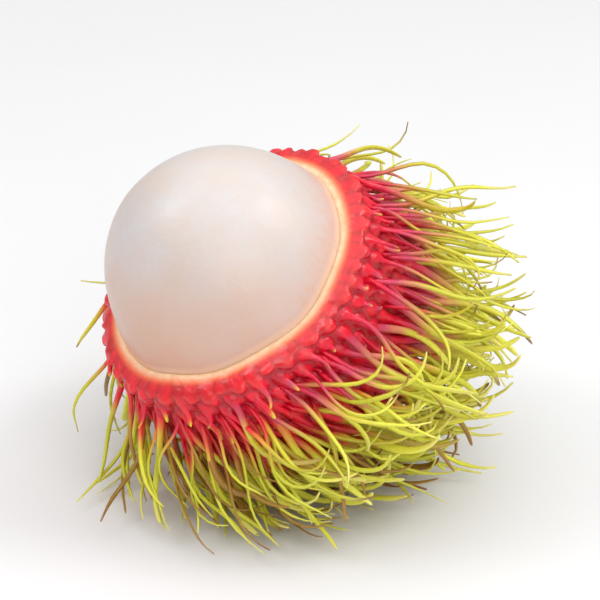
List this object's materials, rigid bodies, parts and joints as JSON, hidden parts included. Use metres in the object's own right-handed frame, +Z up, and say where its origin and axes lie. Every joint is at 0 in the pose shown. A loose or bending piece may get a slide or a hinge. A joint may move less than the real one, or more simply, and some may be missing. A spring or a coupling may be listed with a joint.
{
  "type": "rambutan",
  "caption": "Half-peeled rambutan: a cup of red rind with soft green-tipped hairs, and the pearly egg-shaped flesh that stands out of it.",
  "frame": {"origin": "flat end of the middle one of the hairs that are pressed under the fruit, on the surface it rests on, right below the lowest place of the rind", "axes": "+Z up; -Y towards the side that the fruit is seen from; the bare end of the flesh leans towards -X and -Y, and the stem end of the rind points down towards +X and +Y"},
  "size_m": [0.0604, 0.0603, 0.0484],
  "materials": {
    "rind": "satin",
    "aril": "satin"
  },
  "bodies": {
    "root": {"rind": "rind", "aril": "aril"}
  },
  "joints": []
}
